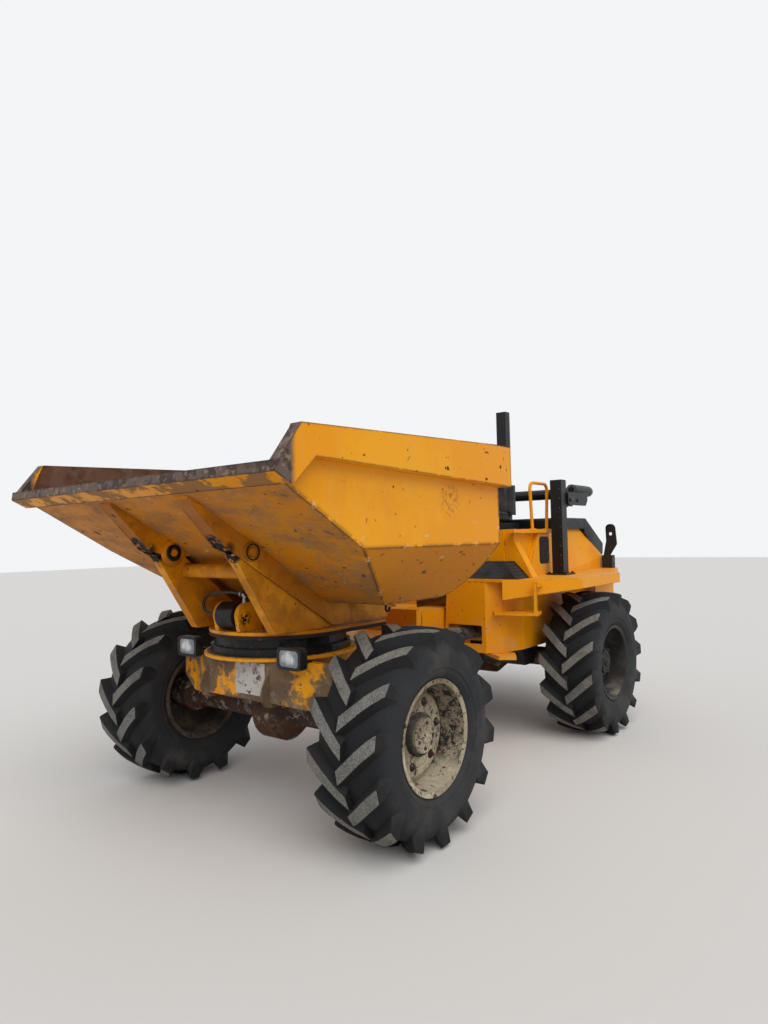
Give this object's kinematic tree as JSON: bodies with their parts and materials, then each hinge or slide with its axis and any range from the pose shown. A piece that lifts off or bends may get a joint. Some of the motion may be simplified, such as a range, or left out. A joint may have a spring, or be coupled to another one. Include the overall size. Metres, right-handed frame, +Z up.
{
  "type": "articulated site dumper",
  "caption": "Articulated wheeled site dumper with a forward-tipping swivel skip, folding roll-over hoop and rear engine cover.",
  "frame": {"origin": "on the ground, under the middle of the machine's bounding box", "axes": "+X to the machine's left, -Y the way it drives, +Z up"},
  "size_m": [2.173, 4.556, 2.6497],
  "materials": {
    "orange_paint": "worn orange gloss paint",
    "skip_paint": "worn orange paint, rusty brown inside",
    "black_paint": "satin black paint",
    "cream_paint": "dusty cream paint",
    "dark_steel": "greasy dark steel",
    "axle_iron": "rusty cast iron with mud",
    "bright_steel": "ram rod",
    "tyre": "worn black rubber with dust",
    "seat_vinyl": "black vinyl",
    "black_plastic": "black plastic",
    "lamp_glass": "clear lamp glass"
  },
  "bodies": {
    "rear_chassis": {"rear_frame": "orange_paint", "rear_axle": "axle_iron", "rear_deck": "orange_paint", "belly_guard": "black_paint", "steps": "orange_paint", "hood_left": "orange_paint", "hood_right": "orange_paint", "hood_rear": "black_paint", "console": "black_paint", "bulkhead": "orange_paint", "seat_platform": "black_paint", "engine_block": "dark_steel", "rops_posts": "black_paint", "grab_handles": "orange_paint", "seat_base": "black_plastic", "seat_cushion": "seat_vinyl", "seat_back": "seat_vinyl", "exhaust_stack": "black_paint", "steering_column": "black_plastic", "steering_wheel": "black_plastic", "rear_lamps": "black_plastic", "tow_hitch": "dark_steel"},
    "bonnet": {"bonnet_lid": "black_paint"},
    "hoop": {"rops_hoop": "black_paint"},
    "front_chassis": {"front_frame": "orange_paint", "front_axle": "axle_iron", "slew_ring_lower": "dark_steel", "headlamp_housings": "black_plastic", "headlamp_lenses": "lamp_glass"},
    "swivel": {"swivel_base": "orange_paint", "swivel_arms": "orange_paint", "slew_ring_upper": "dark_steel"},
    "skip": {"skip_hopper": "skip_paint", "skip_rim": "skip_paint", "skip_ribs": "orange_paint", "skip_ram_lugs": "orange_paint", "tip_pins": "dark_steel"},
    "tip_barrel": {"tip_ram_barrel": "black_paint"},
    "tip_rod": {"tip_ram_rod": "bright_steel"},
    "steer_barrel": {"steer_ram_barrel": "black_paint"},
    "steer_rod": {"steer_ram_rod": "bright_steel"},
    "wheel_front_left": {"tyre_front_left": "tyre", "rim_front_left": "cream_paint"},
    "wheel_front_right": {"tyre_front_right": "tyre", "rim_front_right": "cream_paint"},
    "wheel_rear_left": {"tyre_rear_left": "tyre", "rim_rear_left": "black_paint"},
    "wheel_rear_right": {"tyre_rear_right": "tyre", "rim_rear_right": "black_paint"}
  },
  "joints": [
    {"name": "steer", "type": "hinge", "parent": "rear_chassis", "child": "front_chassis", "pos_m": [0, -0.082, 0.78], "axis": [0, 0, 1], "range_deg": [-32, 32]},
    {"name": "skip_swivel", "type": "hinge", "parent": "front_chassis", "child": "swivel", "pos_m": [0, -1.2585, 0.95], "axis": [0, 0, 1], "range_deg": [-90, 90]},
    {"name": "skip_tip", "type": "hinge", "parent": "swivel", "child": "skip", "pos_m": [0, -1.794, 1.42], "axis": [1, 0, 0], "range_deg": [0, 50]},
    {"name": "tip_ram_turn", "type": "hinge", "parent": "swivel", "child": "tip_barrel", "pos_m": [0, -1.602, 1.08], "axis": [1, 0, 0], "range_deg": [0, 55]},
    {"name": "tip_ram_slide", "type": "slide", "parent": "tip_barrel", "child": "tip_rod", "axis": [0, 0.9996, -0.0269], "range_m": [0, 0.3253]},
    {"name": "steer_ram_turn", "type": "hinge", "parent": "rear_chassis", "child": "steer_barrel", "pos_m": [0.285, 0.538, 0.78], "axis": [0, 0, 1], "range_deg": [-4, 4]},
    {"name": "steer_ram_slide", "type": "slide", "parent": "steer_barrel", "child": "steer_rod", "axis": [-0.147, -0.9891, 0], "range_m": [-0.1052, 0.1052]},
    {"name": "bonnet_hinge", "type": "hinge", "parent": "rear_chassis", "child": "bonnet", "pos_m": [0, 1.816, 1.607], "axis": [1, 0, 0], "range_deg": [-40, 0]},
    {"name": "hoop_fold", "type": "hinge", "parent": "rear_chassis", "child": "hoop", "pos_m": [0, 1.066, 1.738], "axis": [1, 0, 0], "range_deg": [0, 90]},
    {"name": "wheel_front_left_spin", "type": "hinge", "parent": "front_chassis", "child": "wheel_front_left", "pos_m": [0.884, -1.2585, 0.52], "axis": [1, 0, 0], "continuous": true},
    {"name": "wheel_front_right_spin", "type": "hinge", "parent": "front_chassis", "child": "wheel_front_right", "pos_m": [-0.884, -1.2585, 0.52], "axis": [1, 0, 0], "continuous": true},
    {"name": "wheel_rear_left_spin", "type": "hinge", "parent": "rear_chassis", "child": "wheel_rear_left", "pos_m": [0.884, 1.0945, 0.52], "axis": [1, 0, 0], "continuous": true},
    {"name": "wheel_rear_right_spin", "type": "hinge", "parent": "rear_chassis", "child": "wheel_rear_right", "pos_m": [-0.884, 1.0945, 0.52], "axis": [1, 0, 0], "continuous": true}
  ],
  "couplings": [
    {"joint": "tip_ram_turn", "follows": "skip_tip", "ratio": 1.0719},
    {"joint": "tip_ram_slide", "follows": "skip_tip", "m_per_rad": 0.3705},
    {"joint": "steer_ram_turn", "follows": "steer", "ratio": 0.117},
    {"joint": "steer_ram_slide", "follows": "steer", "m_per_rad": -0.1866}
  ]
}
